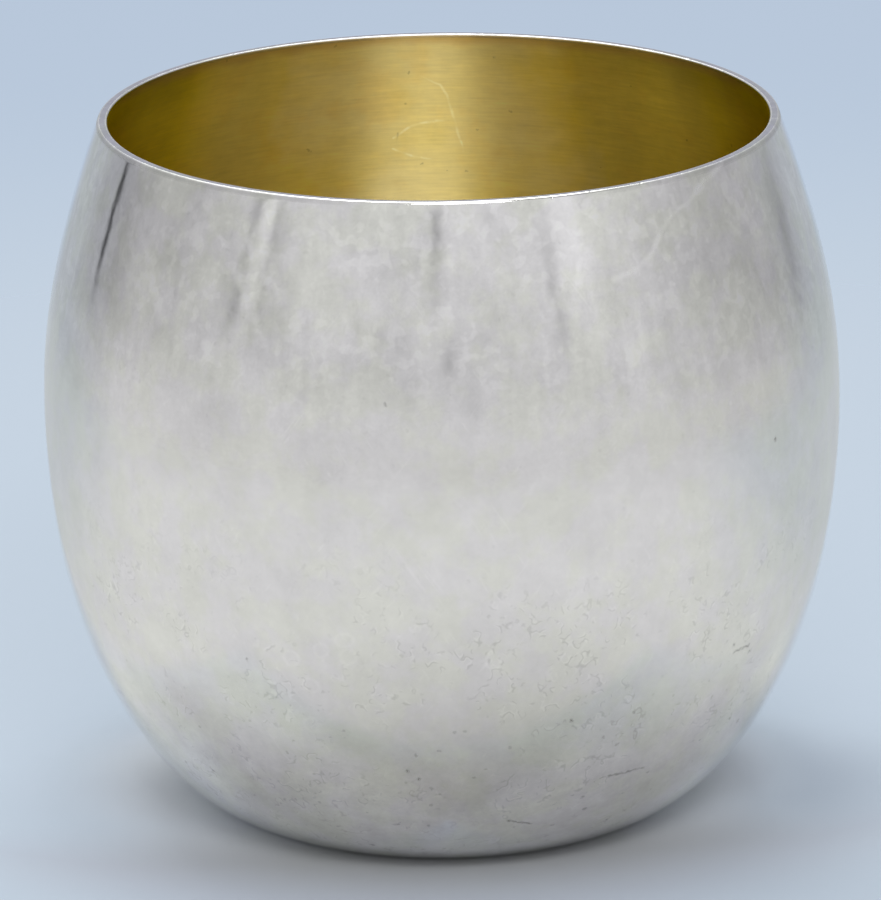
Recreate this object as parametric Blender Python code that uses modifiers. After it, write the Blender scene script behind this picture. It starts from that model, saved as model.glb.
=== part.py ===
"""A Jefferson cup: a round-bellied silver cup with a gilt inside, standing on a flat ring.

The wall is one sheet, raised from a disc, so both pieces follow one meridian: the line that
runs from the middle of the underside, out to the foot ring, up the flank and in to the lip.
Each piece is that line at two depths in the sheet, turned round the Z axis.
Lengths are in metres, +Z is up and the origin is the middle of the surface the cup stands on.
"""

import math

import bpy

# Height and widths, outside
HEIGHT = 0.0700
RIM_RADIUS = 0.0336
BELLY_RADIUS = 0.0398
BELLY_HEIGHT = 0.0406
FOOT_RADIUS = 0.0219

# The flat ring that the cup stands on, and the shallow dish inside it
FOOT_RING_WIDTH = 0.0040
UNDERSIDE_RISE = 0.0008

# How full the curves are: the longer a handle, the longer the wall keeps that direction
FOOT_HANDLE = 0.0050
FLANK_HANDLE = 0.0284
RIM_HANDLE_DROP = 0.01436

# How far out the rim's handle reaches, as a share of the way from the rim to the belly
SHOULDER_FULLNESS = 0.852

# Thickness of the silver and of the gilding's stand-in, and the gap between the two
SILVER_WALL = 0.0005
GILT_WALL = 0.0002
SEAT_CLEARANCE = 0.0003

# The lip takes the full thickness of the wall for a short way down, and its edges are eased
LIP_DEPTH = 0.0005
LIP_EASING = 0.00025

# Faceting
TURN_STEPS = 64
DISH_STEPS = 4
FLANK_STEPS = 12
SHOULDER_STEPS = 8
EASING_STEPS = 4
MERGE_DISTANCE = 0.00001
SHARP_ANGLE = math.radians(40)

LIP_THICKNESS = SILVER_WALL + SEAT_CLEARANCE + GILT_WALL
RIM_HANDLE_REACH = SHOULDER_FULLNESS * (BELLY_RADIUS - RIM_RADIUS)
RIM_LEAN = math.atan2(RIM_HANDLE_REACH, RIM_HANDLE_DROP)


def cubic(start, leave, arrive, end, steps):
    """Points and tangents along a cubic curve, without its first point."""
    samples = []
    for step in range(1, steps + 1):
        t = step / steps
        s = 1 - t
        point = [
            s**3 * a + 3 * s * s * t * b + 3 * s * t * t * c + t**3 * d
            for a, b, c, d in zip(start, leave, arrive, end)
        ]
        tangent = [
            s * s * (b - a) + 2 * s * t * (c - b) + t * t * (d - c)
            for a, b, c, d in zip(start, leave, arrive, end)
        ]
        samples.append(with_normal(point, tangent))
    return samples


def with_normal(point, tangent):
    """Radius, height, and the radius and height parts of the outward normal."""
    length = math.hypot(*tangent)
    return point[0], point[1], tangent[1] / length, -tangent[0] / length


def underside():
    """The dish, from the axis to the inner edge of the foot ring, then the ring's own width."""
    ring_inner = FOOT_RADIUS - FOOT_RING_WIDTH
    samples = []
    for step in range(DISH_STEPS + 1):
        swing = math.pi * step / DISH_STEPS
        radius = ring_inner * step / DISH_STEPS
        height = UNDERSIDE_RISE * (1 + math.cos(swing)) / 2
        fall = -UNDERSIDE_RISE * math.sin(swing) / 2 * math.pi / ring_inner
        samples.append(with_normal((radius, height), (1, fall)))
    samples.append(with_normal((FOOT_RADIUS, 0), (1, 0)))
    return samples


def wall():
    """The flank up to the belly, then the shoulder in to the lip, equally curved where they meet."""
    foot = (FOOT_RADIUS, 0)
    foot_leave = (FOOT_RADIUS + FOOT_HANDLE, 0)
    belly_arrive = (BELLY_RADIUS, BELLY_HEIGHT - FLANK_HANDLE)
    belly = (BELLY_RADIUS, BELLY_HEIGHT)
    rim_arrive = (RIM_RADIUS + RIM_HANDLE_REACH, HEIGHT - RIM_HANDLE_DROP)
    rim = (RIM_RADIUS, HEIGHT)
    flank_bulge = BELLY_RADIUS - foot_leave[0]
    shoulder_bulge = BELLY_RADIUS - rim_arrive[0]
    shoulder_handle = FLANK_HANDLE * math.sqrt(shoulder_bulge / flank_bulge)
    belly_leave = (BELLY_RADIUS, BELLY_HEIGHT + shoulder_handle)
    flank = cubic(foot, foot_leave, belly_arrive, belly, FLANK_STEPS)
    shoulder = cubic(belly, belly_leave, rim_arrive, rim, SHOULDER_STEPS)
    return flank + shoulder


def cut_short(meridian, distance):
    """The meridian without its last stretch of that length."""
    kept = list(meridian)
    while True:
        last = kept.pop()
        before = kept[-1]
        step = math.hypot(last[0] - before[0], last[1] - before[1])
        if step > distance:
            share = 1 - distance / step
            return kept + [tuple(a + share * (b - a) for a, b in zip(before, last))]
        distance -= step


def at_depth(meridian, depth):
    """The meridian's points, moved that far into the sheet."""
    return [(r - depth * nr, z - depth * nz) for r, z, nr, nz in meridian]


def eased_corner(corner, going_in, going_out):
    """Points of the arc that eases a left-hand corner between two unit directions of travel."""
    turn = math.acos(sum(a * b for a, b in zip(going_in, going_out)))
    reach = LIP_EASING * math.tan(turn / 2)
    start = [c - reach * d for c, d in zip(corner, going_in)]
    left = (-going_in[1], going_in[0])
    centre = [s + LIP_EASING * n for s, n in zip(start, left)]
    points = []
    for step in range(EASING_STEPS + 1):
        swept = turn * step / EASING_STEPS
        along = LIP_EASING * math.sin(swept)
        across = LIP_EASING * math.cos(swept)
        points.append(tuple(c + along * d - across * n for c, d, n in zip(centre, going_in, left)))
    return points


def lip():
    """The flat top of the lip between its two eased edges, from the outside to the inside."""
    upwards = (-math.sin(RIM_LEAN), math.cos(RIM_LEAN))
    inwards = (-1, 0)
    downwards = (math.sin(RIM_LEAN), -math.cos(RIM_LEAN))
    outer_corner = (RIM_RADIUS, HEIGHT)
    inner_corner = (RIM_RADIUS - LIP_THICKNESS / math.cos(RIM_LEAN), HEIGHT)
    outer_edge = eased_corner(outer_corner, upwards, inwards)
    inner_edge = eased_corner(inner_corner, inwards, downwards)
    return outer_edge + inner_edge


def cup_body_profile(meridian):
    """The silver: up its inside to the step under the lip, over the lip, and down the outside."""
    below_lip = cut_short(meridian, LIP_DEPTH)
    inside = at_depth(below_lip, SILVER_WALL)
    lip_step = at_depth(below_lip[-1:], LIP_THICKNESS)
    outside = at_depth(below_lip, 0)
    return inside + lip_step + lip()[::-1] + outside[::-1]


def gilt_lining_profile(meridian):
    """The gilding: up its drinking side to just under the lip, and down the side on the silver."""
    below_step = cut_short(meridian, LIP_DEPTH + SEAT_CLEARANCE)
    drinking_side = at_depth(below_step, LIP_THICKNESS)
    silver_side = at_depth(below_step, SILVER_WALL + SEAT_CLEARANCE)
    return drinking_side + silver_side[::-1]


def metal(name, colour, roughness):
    """A bare metal finish."""
    material = bpy.data.materials.new(name)
    material.use_nodes = True
    shader = material.node_tree.nodes["Principled BSDF"]
    shader.inputs["Base Color"].default_value = (*colour, 1)
    shader.inputs["Metallic"].default_value = 1
    shader.inputs["Roughness"].default_value = roughness
    return material


def turned(name, profile, material, collection):
    """A closed solid: a profile that starts and ends on the axis, turned once round Z."""
    outline = bpy.data.meshes.new(name)
    vertices = [(radius, 0, height) for radius, height in profile]
    edges = [(i, i + 1) for i in range(len(vertices) - 1)]
    outline.from_pydata(vertices, edges, [])
    piece = bpy.data.objects.new(name, outline)
    collection.objects.link(piece)
    screw = piece.modifiers.new("turn", "SCREW")
    screw.axis = "Z"
    screw.steps = TURN_STEPS
    screw.render_steps = TURN_STEPS
    screw.use_merge_vertices = True
    screw.merge_threshold = MERGE_DISTANCE
    depsgraph = bpy.context.evaluated_depsgraph_get()
    solid = bpy.data.meshes.new_from_object(piece.evaluated_get(depsgraph))
    piece.modifiers.clear()
    piece.data = solid
    bpy.data.meshes.remove(outline)
    solid.name = name
    solid.materials.append(material)
    solid.shade_smooth()
    solid.set_sharp_from_angle(angle=SHARP_ANGLE)
    return piece


def build():
    for thing in list(bpy.data.objects):
        bpy.data.objects.remove(thing)
    cup = bpy.data.collections.new("jefferson_cup")
    bpy.context.scene.collection.children.link(cup)
    meridian = underside() + wall()
    silver = metal("silver", (0.78, 0.77, 0.74), 0.28)
    gilt = metal("gilt", (0.70, 0.52, 0.20), 0.36)
    turned("cup_body", cup_body_profile(meridian), silver, cup)
    turned("gilt_lining", gilt_lining_profile(meridian), gilt, cup)


build()
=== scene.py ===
# %% [markdown]
# # A Jefferson cup in silver, gilt inside
#
# A Jefferson cup is a small round-bellied beaker without a handle. A silversmith raises or spins it
# from one flat disc, so it has no seam, and then lays a thin wash of gold over the inside.
# Polished metal has almost no colour of its own. What we see on it is the room, bent by the curve of
# the wall and blurred by years of polishing, so this lesson spends as much care on the light and on
# the wear as on the shape.

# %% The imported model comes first
import math

import bpy
from mathutils import Matrix, Vector


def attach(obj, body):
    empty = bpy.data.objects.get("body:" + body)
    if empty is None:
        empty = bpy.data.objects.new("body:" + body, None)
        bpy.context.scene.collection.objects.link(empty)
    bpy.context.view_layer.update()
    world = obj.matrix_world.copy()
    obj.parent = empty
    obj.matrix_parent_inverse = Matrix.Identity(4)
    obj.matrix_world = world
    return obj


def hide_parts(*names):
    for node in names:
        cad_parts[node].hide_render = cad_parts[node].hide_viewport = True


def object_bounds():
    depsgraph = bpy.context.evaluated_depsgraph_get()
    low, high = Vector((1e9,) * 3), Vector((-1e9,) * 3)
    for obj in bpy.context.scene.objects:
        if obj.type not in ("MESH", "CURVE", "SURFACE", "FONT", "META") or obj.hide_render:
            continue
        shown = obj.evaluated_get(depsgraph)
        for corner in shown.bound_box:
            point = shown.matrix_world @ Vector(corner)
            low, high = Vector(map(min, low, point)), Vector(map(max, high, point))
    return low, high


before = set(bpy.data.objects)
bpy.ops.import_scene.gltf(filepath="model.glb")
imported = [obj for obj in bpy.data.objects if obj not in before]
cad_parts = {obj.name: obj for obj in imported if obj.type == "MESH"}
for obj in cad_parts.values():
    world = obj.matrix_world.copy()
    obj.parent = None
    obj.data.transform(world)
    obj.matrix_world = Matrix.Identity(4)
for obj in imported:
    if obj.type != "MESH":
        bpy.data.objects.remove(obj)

cad_low, cad_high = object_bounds()
HEIGHT = cad_high.z
BELLY_RADIUS = cad_high.x
print(f"the frame is {1000 * 2 * BELLY_RADIUS:.1f} mm wide and {1000 * HEIGHT:.1f} mm tall")

# %% [markdown]
# ## The camera
#
# The picture was taken from a little above the rim, through a long lens: the ellipse of the mouth is
# flat, and its near and far halves are nearly alike. A camera in Blender looks down its own -Z axis, so
# we build the three directions of the view ourselves. It is also turned by less than a degree about
# its line of sight, because the cup in the picture leans that much.

# %% Camera
PICTURE_WIDTH = 881
PICTURE_HEIGHT = 900
LONG_SIDE_OF_SENSOR = 36.0
FOCAL_LENGTH_IN_PIXELS = 5758
CAMERA_DISTANCE = 0.5789
CAMERA_ELEVATION = math.radians(17.776)
CAMERA_ROLL = math.radians(-0.746)
AIM = Vector((-0.000215, 0.0, 0.03501))

sight = Vector((0, math.cos(CAMERA_ELEVATION), -math.sin(CAMERA_ELEVATION)))
camera_data = bpy.data.cameras.new("camera")
camera_data.sensor_width = LONG_SIDE_OF_SENSOR
camera_data.lens = FOCAL_LENGTH_IN_PIXELS / max(PICTURE_WIDTH, PICTURE_HEIGHT) * LONG_SIDE_OF_SENSOR
camera = bpy.data.objects.new("camera", camera_data)
bpy.context.scene.collection.objects.link(camera)
right = Vector((1, 0, 0))
axes = Matrix((right, right.cross(sight), -sight)).transposed().to_4x4()
camera.matrix_world = (
    Matrix.Translation(AIM - CAMERA_DISTANCE * sight) @ axes @ Matrix.Rotation(CAMERA_ROLL, 4, "Z")
)
bpy.context.scene.camera = camera
bpy.context.scene.view_settings.view_transform = "Standard"
print(f"lens {camera_data.lens:.0f} mm at {CAMERA_DISTANCE:.3f} m")

# %% [markdown]
# ## Small helpers for node trees
#
# Every material here is a tree of nodes built in code. `add` adds a node and feeds its inputs in one go: a
# value that is a socket is linked, and any other value is written on the input. The others do arithmetic with it.


# %% Helpers for node trees
def add(tree, kind, feeds=None, **settings):
    node = tree.nodes.new(kind)
    for name, value in settings.items():
        setattr(node, name, value)
    for key, value in (feeds or {}).items():
        if isinstance(value, bpy.types.NodeSocket):
            tree.links.new(value, node.inputs[key])
        else:
            node.inputs[key].default_value = value
    return node


def calc(tree, operation, *values, clamp=False):
    node = add(tree, "ShaderNodeMath", dict(enumerate(values)), operation=operation, use_clamp=clamp)
    return node.outputs[0]


def times(tree, first, *others):
    for other in others:
        first = calc(tree, "MULTIPLY", first, other)
    return first


def total(tree, first, *others):
    for other in others:
        first = calc(tree, "ADD", first, other)
    return first


def weighted(tree, start, *pairs):
    """The start, plus each mask times its own weight."""
    for mask, weight in pairs:
        start = calc(tree, "MULTIPLY_ADD", mask, weight, start)
    return start


def vector(tree, operation, *values, **named):
    """Arithmetic with vectors. A length, distance or dot product comes out as one number."""
    node = add(tree, "ShaderNodeVectorMath", dict(enumerate(values)) | named, operation=operation)
    return node.outputs["Value" if operation in ("LENGTH", "DISTANCE", "DOT_PRODUCT") else "Vector"]


def parts(tree, place):
    return add(tree, "ShaderNodeSeparateXYZ", {0: place}).outputs


def between(tree, value, low, high, to_low=0.0, to_high=1.0):
    """A smooth step: to_low below low, to_high above high."""
    feeds = {"Value": value, "From Min": low, "From Max": high, "To Min": to_low, "To Max": to_high}
    node = add(tree, "ShaderNodeMapRange", feeds, interpolation_type="SMOOTHSTEP")
    return node.outputs["Result"]


def either_side(tree, value, middle, half_width):
    """One at the middle, falling smoothly to zero at half_width on either side."""
    return between(tree, calc(tree, "ABSOLUTE", calc(tree, "SUBTRACT", value, middle)), 0, half_width, 1, 0)


def blend_colours(tree, share, first, second):
    return add(tree, "ShaderNodeMix", {0: share, 6: first, 7: second}, data_type="RGBA").outputs[2]


print("Blender", bpy.app.version_string)

# %% [markdown]
# ## The studio
#
# In the photograph the floor and the background are pale blue, yet the silver mirrors a neutral surface.
# One blue card under the cup would turn its lower third blue. A product photographer gets both with a thin,
# partly see-through sheet: at the camera's shallow angle the blue backdrop behind shows through it, and the
# silver, which looks down through it at steep angles, finds the plain cloth below. So the floor here has an
# alpha of less than one where the camera sees it, and every ray sees the same floor.
#
# Close to the foot the sheet is thick, because the lamps' soft shadow needs something to fall on. Its colour
# carries the rest of the shading: darker in front, lighter at the sides, with pools of shade beside the foot.
# Round the sheet lies plain cloth. Far out it all fades away, so that no edge shows against the room.

# %% Sizes and colours of the floor
FLOOR_RADIUS = 0.32
FLOOR_FADES = (0.14, 0.30)
FLOOR_SIDES = 72

# the sheet: half its width at y = 0, how that grows with y, where it starts, and its soft edge
SHEET_HALF_WIDTH = 0.047
SHEET_WIDENS = 0.073
SHEET_FROM_Y = -0.038
SHEET_EDGE = 0.012
SHEET_COLOUR = (0.528, 0.584, 0.655, 1)
SHEET_COLOUR_IN_FRONT = (0.470, 0.480, 0.540, 1)
SHEET_COLOUR_EVENS_OUT = (0.034, 0.048)
SHEET_THICK_TO = 0.022
SHEET_THINNEST = 0.45

# the part in front of the foot: where along y it ends, and how that leans on the right
FRONT_ENDS = (-0.025, -0.011)
FRONT_LEANS = -0.15
BACK_STARTS = (-0.004, 0.012)

# shade close to the foot, in an oval
SHADE_IN_FRONT = (0.440, 0.450, 0.460, 1)
SHADE_AT_SIDES = (0.735, 0.775, 0.830, 1)
SHADE_BEHIND = (0.915, 0.955, 1.000, 1)
SHADE_STRETCH = (0.81, 1, 1)
SHADE_MIDDLE = (-0.001, 0, 0)

# distances from the middle of the foot: in front of it, and elsewhere
SHADE_FULL_TO = (0.023, 0.020)
SHADE_GONE_AT = (0.038, 0.032)
SHEET_THINNEST_AT = (0.048, 0.036)

# pools of shade beside the foot: where, and how strong
POOLS = [((0.035, -0.003, 0), 0.9), ((-0.035, -0.008, 0), 0.28), ((0.037, -0.035, 0), 0.25)]
POOL_REACH = (0.003, 0.021)
POOL_COLOUR = (0.380, 0.425, 0.500, 1)
POOL_THICKNESS = 0.75

# the cloth round the sheet, dimmer to the back and the right, and with painted shade close to the foot
CLOTH_IN_FRONT = (0.560, 0.562, 0.557, 1)
CLOTH_BEHIND = (0.435, 0.462, 0.478, 1)
CLOTH_TURNS = (-0.02, 0.10)
CLOTH_TURNS_RIGHT = 0.45
CLOTH_SHADE_NEAR_FOOT = (0.026, 0.058, 0.85, 1.06)
print(f"the sheet lets up to {1 - SHEET_THINNEST:.0%} through")


# %% Floor
def front_or_elsewhere(tree, elsewhere, pair):
    """A number that passes from the pair's first value in front of the foot to its second elsewhere."""
    return calc(tree, "MULTIPLY_ADD", elsewhere, pair[1] - pair[0], pair[0])


def sheet_look(tree, place, elsewhere):
    """The sheet's colour, and how much of the light it stops."""
    y = parts(tree, place)[1]
    from_foot = vector(tree, "DISTANCE", vector(tree, "MULTIPLY", place, SHADE_STRETCH), SHADE_MIDDLE)
    even = calc(tree, "MAXIMUM", elsewhere, between(tree, from_foot, *SHEET_COLOUR_EVENS_OUT))
    colour = blend_colours(tree, even, SHEET_COLOUR_IN_FRONT, SHEET_COLOUR)
    thinnest_at = front_or_elsewhere(tree, elsewhere, SHEET_THINNEST_AT)
    thickness = between(tree, from_foot, SHEET_THICK_TO, thinnest_at, 1, SHEET_THINNEST)
    for middle, strength in POOLS:
        pool = between(tree, vector(tree, "DISTANCE", place, middle), *POOL_REACH, strength, 0)
        colour = blend_colours(tree, pool, colour, POOL_COLOUR)
        deeper = times(tree, pool, calc(tree, "SUBTRACT", POOL_THICKNESS, thickness))
        thickness = total(tree, thickness, calc(tree, "MAXIMUM", deeper, 0.0))

    shade = blend_colours(tree, between(tree, y, *BACK_STARTS), SHADE_AT_SIDES, SHADE_BEHIND)
    shade = blend_colours(tree, elsewhere, SHADE_IN_FRONT, shade)
    full_to, gone_at = [front_or_elsewhere(tree, elsewhere, pair) for pair in (SHADE_FULL_TO, SHADE_GONE_AT)]
    return blend_colours(tree, between(tree, from_foot, full_to, gone_at, 1, 0), colour, shade), thickness


def floor_material():
    material = bpy.data.materials.new("floor_card")
    material.use_nodes = True
    tree = material.node_tree
    place = add(tree, "ShaderNodeTexCoord").outputs["Object"]
    x, y, _ = parts(tree, place)
    distance = vector(tree, "LENGTH", place)
    to_the_right = calc(tree, "MAXIMUM", x, 0.0)
    leaning = calc(tree, "MULTIPLY_ADD", to_the_right, FRONT_LEANS, y)
    sheet, thickness = sheet_look(tree, place, between(tree, leaning, *FRONT_ENDS))

    turning = calc(tree, "MULTIPLY_ADD", to_the_right, CLOTH_TURNS_RIGHT, y)
    cloth = blend_colours(tree, between(tree, turning, *CLOTH_TURNS), CLOTH_IN_FRONT, CLOTH_BEHIND)
    # painted shade: the cloth gets darker close to the foot
    cloth = vector(tree, "SCALE", cloth, Scale=between(tree, distance, *CLOTH_SHADE_NEAR_FOOT))
    across = calc(tree, "MULTIPLY_ADD", y, -SHEET_WIDENS, calc(tree, "ABSOLUTE", x))
    on_sheet = between(tree, across, SHEET_HALF_WIDTH, SHEET_HALF_WIDTH + SHEET_EDGE, 1, 0)
    on_sheet = times(tree, on_sheet, between(tree, y, SHEET_FROM_Y - SHEET_EDGE, SHEET_FROM_Y))
    alpha = calc(tree, "MULTIPLY_ADD", on_sheet, calc(tree, "SUBTRACT", thickness, 1.0), 1.0)
    alpha = times(tree, alpha, between(tree, distance, *FLOOR_FADES, 1, 0))

    shader = tree.nodes["Principled BSDF"]
    tree.links.new(blend_colours(tree, on_sheet, cloth, sheet), shader.inputs["Base Color"])
    shader.inputs["Roughness"].default_value = 0.9
    shader.inputs["Specular IOR Level"].default_value = 0.1
    tree.links.new(alpha, shader.inputs["Alpha"])
    return material


floor_mesh = bpy.data.meshes.new("floor")
edge = [2 * math.pi * side / FLOOR_SIDES for side in range(FLOOR_SIDES)]
edge = [(FLOOR_RADIUS * math.cos(turn), FLOOR_RADIUS * math.sin(turn), 0) for turn in edge]
floor_mesh.from_pydata(edge, [], [range(FLOOR_SIDES)])
floor = bpy.data.objects.new("floor", floor_mesh)
bpy.context.scene.collection.objects.link(floor)
floor.data.materials.append(floor_material())
print("nodes in the floor's material:", len(floor.data.materials[0].node_tree.nodes))

# %% [markdown]
# A mirror shows whatever stands around it, so a plain grey world would leave the metal dead. Real silver
# in a light tent shows the tent: bright cloth in front, dimmer cloth at the sides, its seams and folds,
# and the small dark opening where the camera looks in. We paint all that on the world, by direction.
# A direction is a bearing and a height above the horizon, both in degrees: bearing 0 is where the camera
# stands and a positive one is to its right.
#
# Low down the world is plain: the pale blue backdrop behind the cup and neutral cloth all round, darker
# and warmer straight below, where the sheet lets it through. The camera sees only that plain part, and the
# metal mirrors all of it.

# %% Colours of the room
BACKDROP_LOW = (0.535, 0.640, 0.755, 1)
BACKDROP_HIGH = (0.482, 0.574, 0.705, 1)
CEILING_BRIGHT = (0.90, 0.90, 0.90, 1)
CEILING_DIM = (0.38, 0.38, 0.38, 1)
CEILING_BRIGHT_AT = -140
PLAIN_FRONT = (0.625, 0.625, 0.622, 1)
PLAIN_SIDE = (0.450, 0.485, 0.515, 1)
UNDER_IN_FRONT = (0.395, 0.380, 0.280, 1)
UNDER_AT_SIDES = (0.560, 0.550, 0.470, 1)
UNDER_NEAR_FLOOR = (0.710, 0.690, 0.610, 1)

# bearing and colour of the cloth, going round from the front to the back
CLOTH = [
    (0, (0.64, 0.64, 0.64)),
    (55, (0.63, 0.63, 0.63)),
    (75, (0.52, 0.52, 0.52)),
    (92, (0.43, 0.43, 0.43)),
    (112, (0.37, 0.37, 0.38)),
    (128, (0.36, 0.37, 0.39)),
    (150, (0.44, 0.47, 0.50)),
    (180, (0.38, 0.39, 0.45)),
]

# heights over which one part passes into the next
CEILING_STARTS = (28, 50)
BACKDROP_TURNS_HIGH = (-18.5, -13)
PLAIN_ENDS = (-13, -1)
UNDER_ENDS = (-30, -20)
UNDER_NEARS_FLOOR = (-54, -34)

# bearings to either side over which it does
PLAIN_TURNS_TO_SIDE = (99, 144)
PLAIN_TURNS_TO_BACKDROP = (154.8, 172.8)
PLAIN_RISES = (55.8, 79.2)
PLAIN_SINKS_AGAIN = (100.8, 129.6)
PLAIN_RISES_BY = 4
UNDER_TURNS_TO_SIDE = (27, 72)
UNDER_STOPS = (144, 162)

# hems: middle and half width in height, then where they start or stop and how strong they are
FRONT_HEM, FRONT_HEM_SPAN = (6, 10), (45, 63, 0.10, 0)
BACK_HEM, BACK_HEM_SPAN = (4, 9), (151.2, 165.6, 0, 0.3)
print("shades of cloth round the tent:", len(CLOTH))

# %% [markdown]
# Each fold in the cloth is a soft upright bar, a little darker or brighter than what lies round it. Some lean,
# because the cloth is tied back. Those below the horizon are broad shades on the cloth that lies on the table.

# %% Folds in the tent
# bearing, half width, lowest and highest part, how much darker (or, below zero, brighter) and the lean
FOLDS = [
    (-124, 2.0, -2.5, 30, 0.95, 0.0),
    (-116, 11, -2, 6, 0.10, 0.0),
    (-107, 22, 10, 30, -0.15, 0.0),
    (-61.5, 2.2, 8, 30, 0.38, 0.28),
    (-57.0, 3.6, 8, 30, -0.26, 0.28),
    (-53.8, 2.2, 8, 30, 0.28, 0.28),
    (-51, 13, 6, 20, 0.13, 0.28),
    (-1.5, 2.4, 17, 26, 0.38, 0.0),
    (2.5, 2.5, 20, 30, -0.15, 0.0),
    (2, 4.5, 8, 12, 0.26, 0.0),
    (33.8, 3.0, 8, 30, 0.26, -0.25),
    (42.0, 12.0, 8, 30, -0.33, -0.25),
    (-63, 6, 9, 14, 0.14, 0.28),
    (54, 4.0, 8, 20, 0.07, 0.0),
    (80.5, 4.5, 12, 30, -0.06, 0.0),
    (-12, 13, 3, 30, 0.06, 0.0),
    (24, 14, 8, 16, -0.09, 0.0),
    (5, 70, 24, 40, -0.10, 0.0),
    (-92, 28, -4, 6, -0.13, 0.0),
    (88, 18, -5, 3, -0.07, 0.0),
    (115, 22, -10, 30, -0.08, 0.0),
    (-66, 2.5, -14, 6, -0.07, 0.3),
    (131, 8.0, -8, 0, 0.22, 0.0),
]
LOW_FOLDS = [
    (50, 48, -90, -30, 0.24, 0.0),
    (110, 55, -90, -14, 0.10, 0.0),
    (78, 28, -13, -8, 0.04, 0.0),
    (103, 42, -13, -1, 0.12, 0.0),
    (-112, 32, -90, -15, 0.12, 0.0),
]
UPRIGHT_AT = 22
FOLD_END = 3
BLACK = (0, 0, 0, 1)
WHITE = (1, 1, 1, 1)


def hang(tree, colour, bearing, height, folds):
    below = calc(tree, "SUBTRACT", UPRIGHT_AT, height)
    for middle, half_width, lowest, highest, darker, lean in folds:
        across = either_side(tree, calc(tree, "MULTIPLY_ADD", below, lean, bearing), middle, half_width)
        above_hem = between(tree, height, lowest - FOLD_END, lowest + FOLD_END)
        below_top = between(tree, height, highest - FOLD_END, highest + FOLD_END, 1, 0)
        share = times(tree, across, times(tree, above_hem, below_top), abs(darker))
        colour = blend_colours(tree, share, colour, BLACK if darker > 0 else WHITE)
    return colour


print("folds in the tent:", len(FOLDS) + len(LOW_FOLDS))


# %% Room
def tent(tree, bearing, away, height):
    ramp = add(tree, "ShaderNodeValToRGB", {0: calc(tree, "DIVIDE", away, 180.0)})
    ramp.color_ramp.interpolation = "EASE"
    while len(ramp.color_ramp.elements) < len(CLOTH):
        ramp.color_ramp.elements.new(0.5)
    for element, (at, shade) in zip(ramp.color_ramp.elements, CLOTH):
        element.position = at / 180
        element.color = (*shade, 1)
    from_bright = calc(tree, "RADIANS", calc(tree, "SUBTRACT", bearing, CEILING_BRIGHT_AT))
    share = calc(tree, "MULTIPLY_ADD", calc(tree, "COSINE", from_bright), 0.5, 0.5)
    ceiling = blend_colours(tree, share, CEILING_DIM, CEILING_BRIGHT)
    colour = blend_colours(tree, between(tree, height, *CEILING_STARTS), ramp.outputs["Color"], ceiling)
    colour = hang(tree, colour, bearing, height, FOLDS)
    front_hem = times(tree, either_side(tree, height, *FRONT_HEM), between(tree, away, *FRONT_HEM_SPAN))
    colour = blend_colours(tree, front_hem, colour, BLACK)
    back_hem = times(tree, either_side(tree, height, *BACK_HEM), between(tree, away, *BACK_HEM_SPAN))
    return blend_colours(tree, back_hem, colour, WHITE)


def room():
    world = bpy.data.worlds.new("tent")
    bpy.context.scene.world = world
    world.use_nodes = True
    tree = world.node_tree
    x, y, z = parts(tree, add(tree, "ShaderNodeTexCoord").outputs["Generated"])
    bearing = calc(tree, "DEGREES", calc(tree, "ARCTAN2", x, times(tree, y, -1.0)))
    height = calc(tree, "DEGREES", calc(tree, "ARCSINE", z))
    away = calc(tree, "ABSOLUTE", bearing)

    backdrop = blend_colours(tree, between(tree, height, *BACKDROP_TURNS_HIGH), BACKDROP_LOW, BACKDROP_HIGH)
    plain = blend_colours(tree, between(tree, away, *PLAIN_TURNS_TO_SIDE), PLAIN_FRONT, PLAIN_SIDE)
    plain = blend_colours(tree, between(tree, away, *PLAIN_TURNS_TO_BACKDROP), plain, backdrop)
    rises = between(tree, away, *PLAIN_RISES, 0, PLAIN_RISES_BY)
    rises = times(tree, rises, between(tree, away, *PLAIN_SINKS_AGAIN, 1, 0))
    low = between(tree, calc(tree, "SUBTRACT", height, rises), *PLAIN_ENDS, 1, 0)
    colour = blend_colours(tree, low, tent(tree, bearing, away, height), plain)

    under = blend_colours(tree, between(tree, away, *UNDER_TURNS_TO_SIDE), UNDER_IN_FRONT, UNDER_AT_SIDES)
    under = blend_colours(tree, between(tree, height, *UNDER_NEARS_FLOOR), under, UNDER_NEAR_FLOOR)
    below = times(tree, between(tree, height, *UNDER_ENDS, 1, 0), between(tree, away, *UNDER_STOPS, 1, 0))
    colour = hang(tree, blend_colours(tree, below, colour, under), bearing, height, LOW_FOLDS)
    tree.links.new(colour, tree.nodes["Background"].inputs["Color"])


room()
print("nodes in the room:", len(bpy.context.scene.world.node_tree.nodes))

# %% [markdown]
# Two large soft lamps do the rest. One hangs overhead, a little to the back and the left. It puts the bright
# line on the lip and the soft shadow round the foot, which reaches further on the right. The other stands
# high in front and lights the far wall of the inside. Its width is the width of the pale band there.


# %% Lamps
def softbox(name, width, height, power, bearing, elevation, distance):
    """A lamp that faces the cup from that bearing and elevation, in degrees."""
    data = bpy.data.lights.new(name, "AREA")
    data.shape = "RECTANGLE"
    data.size = width
    data.size_y = height
    data.energy = power
    lamp = bpy.data.objects.new(name, data)
    bpy.context.scene.collection.objects.link(lamp)
    lamp.visible_camera = False
    turn = math.radians(bearing)
    rise = math.radians(elevation)
    level = math.cos(rise)
    outwards = Vector((math.sin(turn) * level, -math.cos(turn) * level, math.sin(rise)))
    lamp.location = Vector((0, 0, HEIGHT / 2)) + distance * outwards
    lamp.rotation_euler = outwards.to_track_quat("Z", "Y").to_euler()
    print(f"{name}: {width} by {height} m, {power} W")


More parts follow.
